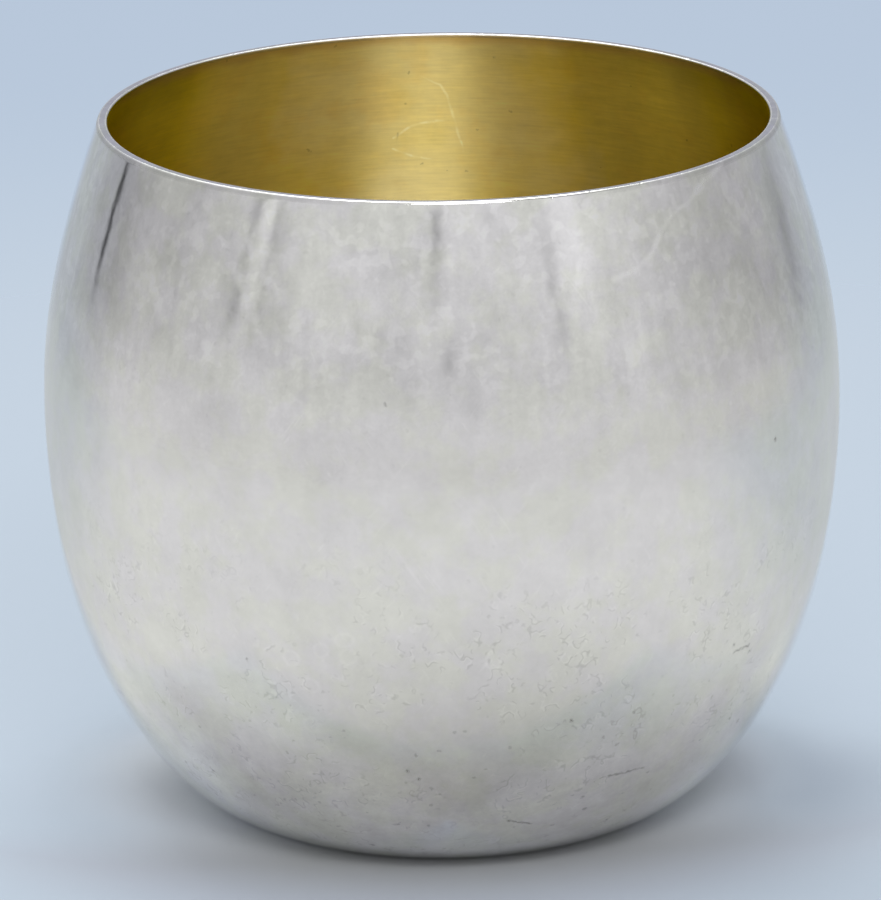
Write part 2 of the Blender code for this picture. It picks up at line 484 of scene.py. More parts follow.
softbox("overhead", 0.7, 0.7, power=4.5, bearing=-168, elevation=68, distance=0.9)
softbox("front", 0.50, 0.2, power=3.0, bearing=8, elevation=45, distance=1.1)

# %% [markdown]
# ## The wall of the cup
#
# Seen in section, the wall is one line: across the dished underside, over the flat ring that the cup stands
# on, up the flank and in to the lip. A silversmith keeps such a line fair, without a sudden change of
# curvature, because polished metal shows every one. Two cubic curves meet at the belly, and the second one's
# first handle is worked out so that both have the same curvature there.

# %% Section of the wall
FOOT_RADIUS = 0.0219
FOOT_RING_WIDTH = 0.0040
UNDERSIDE_RISE = 0.0008
RIM_RADIUS = 0.0336
BELLY_HEIGHT = 0.0406
FOOT_HANDLE = 0.0050
FLANK_HANDLE = 0.0284
RIM_HANDLE_DROP = 0.01436
SHOULDER_FULLNESS = 0.852
RIM_HANDLE_REACH = SHOULDER_FULLNESS * (BELLY_RADIUS - RIM_RADIUS)
RIM_LEAN = math.atan2(RIM_HANDLE_REACH, RIM_HANDLE_DROP)
UNDERSIDE_ROWS = 22
FLANK_ROWS = 72
SHOULDER_ROWS = 48


def sample(point, tangent):
    """Radius, height, and the radius and height parts of the outward normal."""
    length = math.hypot(*tangent)
    return point[0], point[1], tangent[1] / length, -tangent[0] / length


def cubic(start, leave, arrive, end, rows):
    """Samples along a cubic curve, without its first point."""
    samples = []
    for row in range(1, rows + 1):
        t = row / rows
        s = 1 - t
        corners = list(zip(start, leave, arrive, end))
        point = [s**3 * a + 3 * s * s * t * b + 3 * s * t * t * c + t**3 * d for a, b, c, d in corners]
        tangent = [s * s * (b - a) + 2 * s * t * (c - b) + t * t * (d - c) for a, b, c, d in corners]
        samples.append(sample(point, tangent))
    return samples


def underside():
    ring_inner = FOOT_RADIUS - FOOT_RING_WIDTH
    samples = []
    for row in range(UNDERSIDE_ROWS + 1):
        swing = math.pi * row / UNDERSIDE_ROWS
        radius = ring_inner * row / UNDERSIDE_ROWS
        height = UNDERSIDE_RISE * (1 + math.cos(swing)) / 2
        fall = -UNDERSIDE_RISE * math.sin(swing) / 2 * math.pi / ring_inner
        samples.append(sample((radius, height), (1, fall)))
    samples.append(sample((FOOT_RADIUS - FOOT_RING_WIDTH / 2, 0), (1, 0)))
    samples.append(sample((FOOT_RADIUS, 0), (1, 0)))
    return samples


def flank_and_shoulder():
    foot_leave = (FOOT_RADIUS + FOOT_HANDLE, 0)
    belly = (BELLY_RADIUS, BELLY_HEIGHT)
    rim_arrive = (RIM_RADIUS + RIM_HANDLE_REACH, HEIGHT - RIM_HANDLE_DROP)
    bulge = (BELLY_RADIUS - rim_arrive[0]) / (BELLY_RADIUS - foot_leave[0])
    belly_leave = (BELLY_RADIUS, BELLY_HEIGHT + FLANK_HANDLE * math.sqrt(bulge))
    belly_arrive = (BELLY_RADIUS, BELLY_HEIGHT - FLANK_HANDLE)
    flank = cubic((FOOT_RADIUS, 0), foot_leave, belly_arrive, belly, FLANK_ROWS)
    shoulder = cubic(belly, belly_leave, rim_arrive, (RIM_RADIUS, HEIGHT), SHOULDER_ROWS)
    return flank + shoulder


meridian = underside() + flank_and_shoulder()
print("rows in the section:", len(meridian))

# %% [markdown]
# The real sheet of silver is about a millimetre thick, and the gold on its inside is a film of a few
# thousandths. Here the film is a tenth of a millimetre, laid straight on the silver. It starts half way
# round the eased inner edge of the lip, as a wash does that was stopped off there with varnish.

# %% Sections of the silver and of the gold
WALL = 0.0010
FILM = 0.0001
FILM_CLEARANCE = 0.00001
LIP_EASING = 0.00030
COVERED_FROM = 0.0006
JOIN_CLEARANCE = 0.00002
EASING_ROWS = 8
HIDDEN_ROW_STEP = 3


def trimmed(samples, distance):
    """The samples without their last stretch of that length."""
    kept = list(samples)
    while True:
        last = kept.pop()
        before = kept[-1]
        step = math.hypot(last[0] - before[0], last[1] - before[1])
        if step > distance:
            share = 1 - distance / step
            return kept + [tuple(a + share * (b - a) for a, b in zip(before, last))]
        distance -= step


def at_depth(samples, depth):
    return [(r - depth * nr, z - depth * nz) for r, z, nr, nz in samples]


def eased_corner(corner, going_in, going_out):
    """The arc that eases a left-hand corner between two unit directions of travel."""
    turn = math.acos(sum(a * b for a, b in zip(going_in, going_out)))
    start = [c - LIP_EASING * math.tan(turn / 2) * d for c, d in zip(corner, going_in)]
    left = (-going_in[1], going_in[0])
    points = []
    for row in range(EASING_ROWS + 1):
        swept = turn * row / EASING_ROWS
        along = LIP_EASING * math.sin(swept)
        across = LIP_EASING * (1 - math.cos(swept))
        points.append(tuple(s + along * d + across * n for s, d, n in zip(start, going_in, left)))
    return points


upwards = (-math.sin(RIM_LEAN), math.cos(RIM_LEAN))
downwards = (math.sin(RIM_LEAN), -math.cos(RIM_LEAN))
inner_rim_radius = RIM_RADIUS - WALL / math.cos(RIM_LEAN)
outer_easing = eased_corner((RIM_RADIUS, HEIGHT), upwards, (-1, 0))
inner_easing = eased_corner((inner_rim_radius, HEIGHT), (-1, 0), downwards)
half_way = EASING_ROWS // 2
outer_reach = LIP_EASING * math.tan((math.pi / 2 - RIM_LEAN) / 2)
inner_reach = LIP_EASING * math.tan((math.pi / 2 + RIM_LEAN) / 2)
below_easing = inner_reach - WALL * math.tan(RIM_LEAN) + JOIN_CLEARANCE


def silver_section():
    """Up the side that carries the gold, over the lip, and down the outside."""
    carrying = at_depth(trimmed(meridian, COVERED_FROM)[::HIDDEN_ROW_STEP], WALL - FILM)
    outside = at_depth(trimmed(meridian, outer_reach), 0)
    lip = outer_easing[1:] + inner_easing[: half_way + 1]
    return carrying + lip[::-1] + outside[::-1]


def gold_section():
    """Up the drinking side, round half of the lip's inner easing, and down the side on the silver."""
    drinking = at_depth(trimmed(meridian, below_easing), WALL)
    backing = at_depth(trimmed(meridian, COVERED_FROM)[::HIDDEN_ROW_STEP], WALL - FILM + FILM_CLEARANCE)
    return drinking + inner_easing[half_way:][::-1] + backing[::-1]


print(f"lip {1000 * (RIM_RADIUS - inner_rim_radius):.2f} mm wide, mouth {2000 * inner_rim_radius:.1f} mm across")

# %% [markdown]
# ## Turning the sections
#
# Both pieces are a section turned round the axis, which is a rule, so one Geometry Nodes tree makes them.
# It lays out a grid with a column for each step of the turn and a row for each point of the section, looks
# each point up, and swings it round. A last touch keeps the cup hand-made: waves a few hundredths of a millimetre
# deep, seen only in what the metal mirrors. One rule pushes every point inwards, so the gold stays on the silver.

# %% Tree that turns a section
MERGE_DISTANCE = 2e-6
SOCKETS = {"Section": "Geometry", "Steps": "Int", "Wave Depth": "Float", "Wave Scale": "Float"}
SOCKETS |= {"Seed": "Float", "Finish": "Material"}


def swung_grid(tree, section, steps):
    rows = add(tree, "GeometryNodeAttributeDomainSize", {0: section}).outputs["Point Count"]
    feeds = {"Size X": 1, "Size Y": 1, "Vertices X": calc(tree, "ADD", steps, 1), "Vertices Y": rows}
    grid = add(tree, "GeometryNodeMeshGrid", feeds).outputs["Mesh"]
    place = add(tree, "GeometryNodeInputPosition").outputs[0]
    x, y, _ = parts(tree, place)
    angle = times(tree, calc(tree, "ADD", x, 0.5), 2 * math.pi)
    row = calc(tree, "ROUND", times(tree, calc(tree, "ADD", y, 0.5), calc(tree, "SUBTRACT", rows, 1)))
    feeds = {"Geometry": section, "Index": row, "Value": place}
    point = add(tree, "GeometryNodeSampleIndex", feeds, data_type="FLOAT_VECTOR").outputs[0]
    feeds = {"Vector": point, "Angle": angle}
    swung = add(tree, "ShaderNodeVectorRotate", feeds, rotation_type="Z_AXIS").outputs[0]
    offset = vector(tree, "SUBTRACT", swung, place)
    wrapped = add(tree, "GeometryNodeSetPosition", {"Geometry": grid, "Offset": offset}).outputs[0]
    feeds = {"Geometry": wrapped, "Distance": MERGE_DISTANCE}
    return add(tree, "GeometryNodeMergeByDistance", feeds).outputs[0]


def lathe_tree():
    tree = bpy.data.node_groups.new("turn_on_the_lathe", "GeometryNodeTree")
    for name, kind in SOCKETS.items():
        tree.interface.new_socket(name, in_out="INPUT", socket_type="NodeSocket" + kind)
    tree.interface.new_socket("Turned", in_out="OUTPUT", socket_type="NodeSocketGeometry")
    given = add(tree, "NodeGroupInput").outputs
    closed = swung_grid(tree, given["Section"], given["Steps"])
    place = add(tree, "GeometryNodeInputPosition").outputs[0]
    feeds = {"Vector": place, "W": given["Seed"], "Scale": given["Wave Scale"], "Detail": 1.0}
    waves = add(tree, "ShaderNodeTexNoise", feeds, noise_dimensions="4D").outputs[0]
    share = calc(tree, "DIVIDE", times(tree, waves, given["Wave Depth"]), -BELLY_RADIUS)
    push = vector(tree, "SCALE", vector(tree, "MULTIPLY", place, (1, 1, 0)), Scale=share)
    waved = add(tree, "GeometryNodeSetPosition", {"Geometry": closed, "Offset": push}).outputs[0]
    smooth = add(tree, "GeometryNodeSetShadeSmooth", {"Geometry": waved}).outputs[0]
    finished = add(tree, "GeometryNodeSetMaterial", {"Geometry": smooth, "Material": given["Finish"]})
    add(tree, "NodeGroupOutput", {"Turned": finished.outputs[0]})
    return tree


LATHE = lathe_tree()
print("nodes in the lathe:", len(LATHE.nodes))


# %% Turning one piece
def turned(name, section, finish, **wanted):
    """A closed mesh: the section turned once round the axis."""
    line = bpy.data.meshes.new(name + "_section")
    line.from_pydata([(r, 0, z) for r, z in section], [(i, i + 1) for i in range(len(section) - 1)], [])
    piece = bpy.data.objects.new(name, line)
    bpy.context.scene.collection.objects.link(piece)
    modifier = piece.modifiers.new("turn", "NODES")
    modifier.node_group = LATHE
    wanted["Finish"] = finish
    for item in LATHE.interface.items_tree:
        if item.name in wanted:
            modifier[item.identifier] = wanted[item.name]
    depsgraph = bpy.context.evaluated_depsgraph_get()
    mesh = bpy.data.meshes.new_from_object(piece.evaluated_get(depsgraph))
    piece.modifiers.clear()
    piece.data = mesh
    mesh.name = name
    mesh.materials.clear()
    mesh.materials.append(finish)
    bpy.data.meshes.remove(line)
    return piece


print("points to turn:", len(silver_section()), "and", len(gold_section()))

# %% [markdown]
# ## Patterns
#
# All the patterns read Object coordinates, in metres, so a pattern's size can be written down as it is measured
# on the cup. `noise` is a soft random pattern whose spots have a given size, and which can be stretched and
# turned. `spots` scatters small round dots. Both take a seed that moves them to another part of the pattern.
# `sway` makes a noise swing about zero, so that it can be added to another value.


# %% Helpers for patterns
def moved(tree, place, size, seed, stretch=(1, 1, 1), turn=(0, 0, 0)):
    feeds = {"Vector": place, "Location": (0.31 * seed, 0.17 * seed, 0.23 * seed)}
    feeds["Rotation"] = tuple(math.radians(angle) for angle in turn)
    feeds["Scale"] = tuple(size * k for k in stretch)
    return add(tree, "ShaderNodeMapping", feeds, vector_type="TEXTURE").outputs[0]


def noise(tree, place, size, seed, detail=2.0, rough=0.5, **kind):
    spot = moved(tree, place, size, seed, **kind)
    feeds = {"Vector": spot, "Scale": 1.0, "Detail": detail, "Roughness": rough}
    return add(tree, "ShaderNodeTexNoise", feeds).outputs[0]


def sway(tree, value, amount):
    return times(tree, calc(tree, "SUBTRACT", value, 0.5), amount)


def spots(tree, place, spacing, radius, seed):
    spot = moved(tree, place, spacing, seed)
    cells = add(tree, "ShaderNodeTexVoronoi", {"Vector": spot, "Scale": 1.0}, feature="F1")
    reach = radius / spacing
    return between(tree, cells.outputs["Distance"], 0.5 * reach, reach, 1, 0)


def unsteady(tree, place, size, reach):
    """The place moved about a little, so that what is drawn there has a wavering edge."""
    feeds = {"Vector": place, "Scale": 1 / size, "Detail": 1.0}
    wander = add(tree, "ShaderNodeTexNoise", feeds).outputs["Color"]
    centred = vector(tree, "SUBTRACT", wander, (0.5, 0.5, 0.5))
    return vector(tree, "MULTIPLY_ADD", centred, (reach,) * 3, place)


WAVERING = {"size": 0.0035, "reach": 0.0010}
RAGGED = {"size": 0.0005, "reach": 0.0006}
print("a scratch wavers by up to", 1000 * WAVERING["reach"] / 2, "mm")

# %% [markdown]
# ## Marks in known places
#
# Years of use leave single marks too: a long pale scratch below the lip, pits, and dried drops. A shader can
# draw each one from its two ends, as the distance from the point being shaded to a line. One node group does
# it, and with a ring radius it draws a ring round a point instead. We give each mark by its bearing in degrees
# and its height in millimetres, and look up the radius of the wall there.

# %% Places on the wall
outside_of_wall = at_depth(flank_and_shoulder(), 0)
inside_of_wall = at_depth(flank_and_shoulder(), WALL)


def on_the_wall(side, bearing, millimetres):
    height = millimetres / 1000
    radius = next(
        low[0] + (high[0] - low[0]) * (height - low[1]) / (high[1] - low[1])
        for low, high in zip(side, side[1:])
        if low[1] <= height <= high[1]
    )
    turn = math.radians(bearing)
    return radius * math.sin(turn), -radius * math.cos(turn), height


print("just below the lip:", on_the_wall(outside_of_wall, 0, 69))


# %% Group that draws a mark
def mark_group():
    tree = bpy.data.node_groups.new("mark", "ShaderNodeTree")
    for name in ("Place", "Start", "End"):
        tree.interface.new_socket(name, in_out="INPUT", socket_type="NodeSocketVector")
    for name in ("Width", "Ring"):
        tree.interface.new_socket(name, in_out="INPUT", socket_type="NodeSocketFloat")
    tree.interface.new_socket("Mark", in_out="OUTPUT", socket_type="NodeSocketFloat")
    given = add(tree, "NodeGroupInput").outputs
    line = vector(tree, "SUBTRACT", given["End"], given["Start"])
    away = vector(tree, "SUBTRACT", given["Place"], given["Start"])
    reach = vector(tree, "DOT_PRODUCT", away, line)
    share = calc(tree, "DIVIDE", reach, vector(tree, "DOT_PRODUCT", line, line), clamp=True)
    gap = vector(tree, "DISTANCE", away, vector(tree, "SCALE", line, Scale=share))
    off_line = calc(tree, "ABSOLUTE", calc(tree, "SUBTRACT", gap, given["Ring"]))
    add(tree, "NodeGroupOutput", {"Mark": between(tree, off_line, 0, given["Width"], 1, 0)})
    return tree


MARK = mark_group()


def marks(tree, place, side, lines, width, ring=0.0):
    """The strongest of several marks; each line runs through its places in turn."""
    strongest = None
    for line in lines:
        points = [on_the_wall(side, *spot) for spot in line]
        for start, end in zip(points, points[1:] or points):
            feeds = {"Place": place, "Start": start, "End": end, "Width": width, "Ring": ring}
            here = add(tree, "ShaderNodeGroup", feeds, node_tree=MARK).outputs["Mark"]
            strongest = here if strongest is None else calc(tree, "MAXIMUM", strongest, here)
    return strongest


print("nodes that draw a mark:", len(MARK.nodes))

# %% [markdown]
# ## A metal to start from
#
# Silver and gold differ in colour, in gloss and in the marks they carry, but every metal is built the same way:
# its base colour is the colour of its reflection, and fine relief goes in as bump, here in micrometres.


# %% Helpers for a metal
def new_metal(name):
    """A metal, with the place being shaded and how far that is from the axis."""
    material = bpy.data.materials.new(name)
    material.use_nodes = True
    tree = material.node_tree
    place = add(tree, "ShaderNodeTexCoord").outputs["Object"]
    return material, place, vector(tree, "LENGTH", vector(tree, "MULTIPLY", place, (1, 1, 0)))


def finish_metal(tree, colour, tone, roughness, micrometres):
    """Link the colour, made brighter or darker by the tone, the roughness and the relief."""
    bump = add(tree, "ShaderNodeBump", {"Height": micrometres, "Distance": 1e-6, "Strength": 1.0}).outputs[0]
    shader = tree.nodes["Principled BSDF"]
    shader.inputs["Metallic"].default_value = 1
    colour = vector(tree, "SCALE", colour, Scale=tone)
    for name, socket in (("Base Color", colour), ("Roughness", roughness), ("Normal", bump)):
        tree.links.new(socket, shader.inputs[name])
    print("nodes in this metal:", len(tree.nodes))
    return shader


# %% [markdown]
# ## Silver
#
# Old silver isn't a clean mirror. Polishing leaves it with fine lines in every direction, and washing leaves
# a faint veil. Three things make it look right. Its colour drifts between a cream and a cool grey, in clouds a
# few millimetres across. Its gloss changes from place to place, so that a reflection is crisp here and hazy
# there. And its surface isn't quite smooth, so that every reflected edge is a little broken. The numbers are
# small, because the eye is very sensitive to them on metal. The veil is thickest on the shoulder. Lower down
# there are patches of short broken dark lines, each with a pale edge beside it that is a painted highlight, so
# that the lines look raised. Both are drawn like the lines on a map: where a noise passes a level.

# %% Tone of the silver
SILVER_CREAM = (0.898, 0.903, 0.858, 1)
SILVER_LILAC = (0.900, 0.890, 0.905, 1)
SHOULDER = (0.046, 0.056)
LOW_FLANK = (0.010, 0.022)
STREAKS_FADE = (0.044, 0.056, 0.25, 1)
BROKEN_LINES_FADE = (0.026, 0.040, 1, 0.15)
PATCH_EDGE = (0.46, 0.56)
LINE_HALF_WIDTH = 0.05
MOTTLE, MOTTLE_ON_SHOULDER, MOTTLE_LOW_DOWN = 0.30, 0.18, 0.25
STREAKS = 0.20
# the pale lines are a painted highlight beside the dark ones, so that these look raised
DARK_LINES, RAISED_LOOK_HIGHLIGHT = -0.17, 0.07
DRIED_FILM = 0.075
HAIRLINES = 0.04


def silver_colour(tree, place):
    clouds = noise(tree, place, size=0.0045, seed=1, detail=3, rough=0.6)
    return blend_colours(tree, between(tree, clouds, 0.40, 0.60), SILVER_LILAC, SILVER_CREAM)


def silver_tone(tree, place, z):
    """How bright the metal is, about 1."""
    upper = between(tree, z, *SHOULDER)
    low = between(tree, z, *LOW_FLANK, 1, 0)
    mottling = weighted(tree, MOTTLE, (upper, MOTTLE_ON_SHOULDER), (low, MOTTLE_LOW_DOWN))
    mottle = sway(tree, noise(tree, place, size=0.0048, seed=2, detail=4, rough=0.80), mottling)
    streaks = sway(tree, noise(tree, place, size=0.0012, seed=6, stretch=(1, 1, 7)), STREAKS)
    streaks = times(tree, streaks, between(tree, z, *STREAKS_FADE))

    field = noise(tree, place, size=0.0012, seed=7, detail=1)
    patches = noise(tree, place, size=0.0065, seed=8)
    broken = between(tree, noise(tree, place, size=0.0011, seed=9), 0.49, 0.58)
    here = times(tree, between(tree, patches, *PATCH_EDGE), between(tree, z, *BROKEN_LINES_FADE), broken)
    dark = times(tree, either_side(tree, field, 0.50, LINE_HALF_WIDTH), here)
    # painted highlight: a pale line just beside each dark one
    raised_look_highlight = times(tree, either_side(tree, field, 0.58, LINE_HALF_WIDTH), here)
    dried = times(tree, between(tree, patches, *PATCH_EDGE, 1, 0), upper, between(tree, field, 0.50, 0.62))

    tone = total(tree, 1.0, mottle, streaks)
    tone = weighted(tree, tone, (dark, DARK_LINES), (raised_look_highlight, RAISED_LOOK_HIGHLIGHT), (dried, DRIED_FILM))
    for seed, lean in ((11, 38), (12, -33)):
        lines = noise(tree, place, size=0.0004, seed=seed, detail=1, stretch=(1, 1, 30), turn=(0, lean, 0))
        tone = total(tree, tone, between(tree, lines, 0.66, 0.78, 0, HAIRLINES))
    return tone


print("the mottle swings by", MOTTLE / 2, "at most on the belly")

# %% [markdown]
# The pits are dark, because dirt stays in them. They lie all over the cup and closer together on the lower part,
# where a cup is knocked and set down. The scratches are pale: their rough floor catches light from all sides.

# %% Marks on the silver
LONG_SCRATCH = [(53.1, 69.9), (46.1, 68.37), (38.1, 66.39), (34.4, 64.22), (30.7, 62.48), (26.6, 61.85)]
FAINT_SCRATCHES = [
    [(-38, 66.5), (-30, 61.0), (-26, 56.5)],
    [(-33, 67.0), (-24, 60.5)],
    [(-58, 67.0), (-50, 62.0), (-44, 57.0)],
]
SHORT_SCRATCHES = [[(27.9, 11.11), (34.8, 11.21)], [(48.1, 22.10), (51.7, 22.14)], [(11.0, 6.9), (15.5, 6.1)]]
PITS = [
    (-6.2, 13.82), (-4.5, 12.85), (-4.7, 15.67), (-15.4, 3.06), (-3.4, 6.56), (-44.0, 9.88), (-29.7, 24.96),
    (-7.9, 51.82), (53.6, 43.15), (47.7, 22.94), (52.2, 21.27), (29.6, 18.52), (27.6, 14.95), (19.0, 18.74),
    (57.3, 12.45), (24.1, 8.90), (25.5, 7.10), (19.9, 5.48),
]
DROPS = [(-22.6, 25.81), (-13.6, 26.45), (-19.7, 22.89), (-20.5, 18.65), (-14.1, 28.35), (-17.6, 27.07)]
SMUDGES = [[(0.3, 69.9), (0.2, 65.2)], [(1.2, 55.5)], [(65.8, 57.8)], [(-25.5, 65.1)]]
DROP_RADIUS = 0.0008
SCATTERED_PITS_FADE = (0.016, 0.026, 1, 0.25)


def silver_marks(tree, place, z):
    """Four masks: pale scratches, dark pits, the rings of dried drops, and smudges."""
    wavering = unsteady(tree, place, **WAVERING)
    ragged = unsteady(tree, place, **RAGGED)
    outside = outside_of_wall
    faint = times(tree, marks(tree, wavering, outside, FAINT_SCRATCHES, width=0.0008), 0.45)
    scratches = calc(tree, "MAXIMUM", marks(tree, wavering, outside, [LONG_SCRATCH], width=0.0005), faint)
    single = marks(tree, ragged, outside, [[pit] for pit in PITS], width=0.00034)
    short = marks(tree, ragged, outside, SHORT_SCRATCHES, width=0.00025)
    scattered = spots(tree, ragged, spacing=0.0021, radius=0.00026, seed=22)
    scattered = times(tree, scattered, between(tree, z, *SCATTERED_PITS_FADE), 0.5)
    pits = calc(tree, "MAXIMUM", calc(tree, "MAXIMUM", single, short), scattered)
    drops = marks(tree, wavering, outside, [[drop] for drop in DROPS], width=0.0003, ring=DROP_RADIUS)
    smudges = marks(tree, wavering, outside, SMUDGES, width=0.0011)
    return scratches, pits, drops, smudges


print("pits set one by one:", len(PITS))

# %% [markdown]
# The lip and the foot are where a cup wears. The lip is rubbed bright and has small nicks. Its outer edge is
# rougher away from the front, and darkened there with painted shade, so that the lamp's glint stays on the front.
# The ring that the cup stands on is scuffed.
# Inside that ring the underside keeps the fine circles of the lathe, and in its middle the dot where the
# maker's compass stood.

# %% Wear on the lip and the foot
LIP_BAND = 0.0004
# the front of the lip keeps its glint; elsewhere its outer edge gets painted shade and more roughness
LIP_FRONT_X = 0.004
LIP_FRONT_ENDS = (0.009, 0.020)
BACK_OF_LIP = (-0.02, 0)
DULL_SHADED_FROM = (HEIGHT - 0.0006, HEIGHT - 0.0003)
DULL_SHADED_TO = (HEIGHT - 12e-6, HEIGHT - 4e-6)
FOOT_BAND = 0.0006
RING_INNER_EDGE = (0.0165, 0.0178)
DISH_EDGE = (0.0178, 0.0186)
DISH_TOP = (0.0010, 0.0012)
CIRCLE_SPACING = 0.0006
COMPASS_DOT = (0.0002, 0.0005)


def dull_shaded_lip_edge(tree, x, y, z):
    """The lip's outer edge away from its front, where it is rougher and darkened with painted shade."""
    aside = calc(tree, "ABSOLUTE", calc(tree, "SUBTRACT", x, LIP_FRONT_X))
    away = between(tree, aside, *LIP_FRONT_ENDS)
    away = calc(tree, "MAXIMUM", away, between(tree, y, *BACK_OF_LIP))
    return times(tree, between(tree, z, *DULL_SHADED_FROM), between(tree, z, *DULL_SHADED_TO, 1, 0), away)


def silver_wear(tree, place, z, radius):
    """Four masks: nicks, scuffs, the circles of the lathe and the compass dot."""
    on_lip = between(tree, z, HEIGHT - LIP_BAND, HEIGHT - LIP_BAND / 4)
    nicks = times(tree, between(tree, noise(tree, place, size=0.0012, seed=31), 0.60, 0.74), on_lip)
    on_foot = times(tree, between(tree, z, 0, FOOT_BAND, 1, 0), between(tree, radius, *RING_INNER_EDGE))
    scuffs = between(tree, noise(tree, place, size=0.0006, seed=32, detail=4), 0.40, 0.60, 0.5, 1)
    in_dish = times(tree, between(tree, radius, *DISH_EDGE, 1, 0), between(tree, z, *DISH_TOP, 1, 0))
    circles = calc(tree, "SINE", times(tree, radius, 2 * math.pi / CIRCLE_SPACING))
    circles = times(tree, circles, noise(tree, place, size=0.004, seed=33), in_dish)
    dot = times(tree, between(tree, radius, *COMPASS_DOT, 1, 0), in_dish)
    return nicks, times(tree, on_foot, scuffs), circles, dot


print(f"the compass dot is {2000 * COMPASS_DOT[1]:.0f} mm across")


# %% Silver finish
def silver_material():
    material, place, radius = new_metal("old_silver")
    tree = material.node_tree
    x, y, z = parts(tree, place)
    scratches, pits, drops, smudges = silver_marks(tree, place, z)
    nicks, scuffs, circles, dot = silver_wear(tree, place, z, radius)
    dull_shaded_lip = dull_shaded_lip_edge(tree, x, y, z)

    tone = weighted(tree, silver_tone(tree, place, z), (scratches, 0.10), (drops, 0.04), (pits, -0.42))
    tone = weighted(tree, tone, (scuffs, -0.12), (dot, -0.5), (circles, 0.04), (smudges, -0.07))
    # painted shade on the lip's outer edge away from the front
    tone = times(tree, tone, weighted(tree, 1.0, (dull_shaded_lip, -0.22)))
    haze = noise(tree, place, size=0.0075, seed=42, detail=4, rough=0.65)
    haze = between(tree, haze, 0.34, 0.66, 0.06, 0.14)
    roughness = weighted(tree, haze, (scratches, 0.15), (pits, 0.20), (scuffs, 0.30), (dull_shaded_lip, 0.30))
    ripples = times(tree, noise(tree, place, size=0.0030, seed=51), 16.0)
    relief = weighted(tree, ripples, (nicks, -25.0), (circles, 2.0), (dot, -60.0), (scuffs, -10.0))
    finish_metal(tree, silver_colour(tree, place), tone, roughness, relief)
    return material


silver = silver_material()

# %% [markdown]
# ## Gold
#
# The gilding was brushed out round the cup and has been wiped out with a cloth ever since, so its fine lines run
# level. Such lines spread a reflection upwards and downwards but hardly sideways: that is why one lamp makes an
# upright pale band on it. The shader's anisotropy does this, with a tangent that runs round the Z axis.
#
# The wash is paler at the back and the front, and deeper between them. The pale part is a painted highlight:
# the colour of the lamp's pale band, laid where that band falls on the far wall. A few upright patches are rubbed
# brighter or have gone dull, and they also paint highlight and shade on that band. Just under the lip it has a
# darker, redder edge, where the gilder stopped it off, and which is partly painted shade under the lip. The wash
# is also darkened with painted shade towards the left and right, most near the top, and along the very top,
# which dims its glint there.

# %% Colour of the gold
# GOLD_PALE is a painted highlight: the colour of the lamp's pale band, laid at the back, where the band falls,
# and at the front
GOLD_PALE = (0.860, 0.775, 0.460, 1)
GOLD_DEEP = (0.860, 0.705, 0.062, 1)
GOLD_RED = (0.860, 0.600, 0.120, 1)
GOLD_RUBBED = (1.000, 0.960, 0.740, 1)
# GOLD_EDGE is partly the stopped-off edge of the wash and partly painted shade under the lip
GOLD_EDGE = (0.620, 0.400, 0.160, 1)
GOLD_EDGE_BAND = (HEIGHT - 0.0016, HEIGHT - 0.0004)
GOLD_EDGE_WAVERS = 0.0012
PALE_BAND_TURN = 4
PALE_BAND_FROM = (0.80, 1.02)
SMALLEST_RADIUS = 0.012

# where it lies, its edge and its full part, how much brighter and how much paler the gold is there; the patches
# are worn gilding that also paints highlight and shade on the lamp's pale band
WORN_AND_HIGHLIGHT_PATCHES = [
    (27, 0.92, 0.99, 0.13, 0.45),
    (-13.5, 0.975, 0.998, 0.13, 0.0),
    (-36, 0.94, 0.99, -0.11, 0.25),
]


def facing(tree, x, y, radius, turn):
    """How far a place faces a side of the cup: one at the back turned that many degrees to the left."""
    turn = math.radians(turn)
    reach = calc(tree, "SUBTRACT", times(tree, y, math.cos(turn)), times(tree, x, math.sin(turn)))
    return calc(tree, "DIVIDE", reach, calc(tree, "MAXIMUM", radius, SMALLEST_RADIUS))


def gold_colour(tree, place, radius, towards_back_and_front):
    """The colour of the wash, with its painted highlight, and how much brighter it is in the worn patches, which
    also paint highlight and shade.
    """
    x, y, z = parts(tree, place)
    clouds = sway(tree, noise(tree, place, size=0.010, seed=61, detail=3), 0.25)
    # painted highlight: paler at the back and the front, where the lamp's pale band falls on the far wall
    pale_band = between(tree, calc(tree, "ADD", towards_back_and_front, clouds), *PALE_BAND_FROM)
    worn_and_highlight = 0.0
    # each patch is worn gilding that also paints highlight and shade on the pale band
    for turn, patch_edge, full, brighter, paler_by in WORN_AND_HIGHLIGHT_PATCHES:
        patch = between(tree, facing(tree, x, y, radius, turn), patch_edge, full)
        worn_and_highlight = calc(tree, "MULTIPLY_ADD", patch, brighter, worn_and_highlight)
        pale_band = calc(tree, "MAXIMUM", pale_band, times(tree, patch, paler_by))
    redder = noise(tree, place, size=0.007, seed=60, detail=3, rough=0.6)
    redder = between(tree, redder, 0.48, 0.66, 0, 0.22)
    # a darker, redder edge under the lip: partly where the gilder stopped it off, partly painted shade
    edge = total(tree, z, sway(tree, noise(tree, place, size=0.004, seed=62), GOLD_EDGE_WAVERS))
    edge = times(tree, between(tree, edge, *GOLD_EDGE_BAND), 0.6)
    colour = blend_colours(tree, pale_band, GOLD_DEEP, GOLD_PALE)
    colour = blend_colours(tree, redder, colour, GOLD_RED)
    return blend_colours(tree, edge, colour, GOLD_EDGE), worn_and_highlight


print("worn patches in the gold:", len(WORN_AND_HIGHLIGHT_PATCHES))

# %% [markdown]
# The brushed lines are a noise stretched round the cup: short dashes, and broader bands under them. Over those
# lie three curved scratches, a few dark touches and a scatter of specks. A scratch skips over the brush marks.

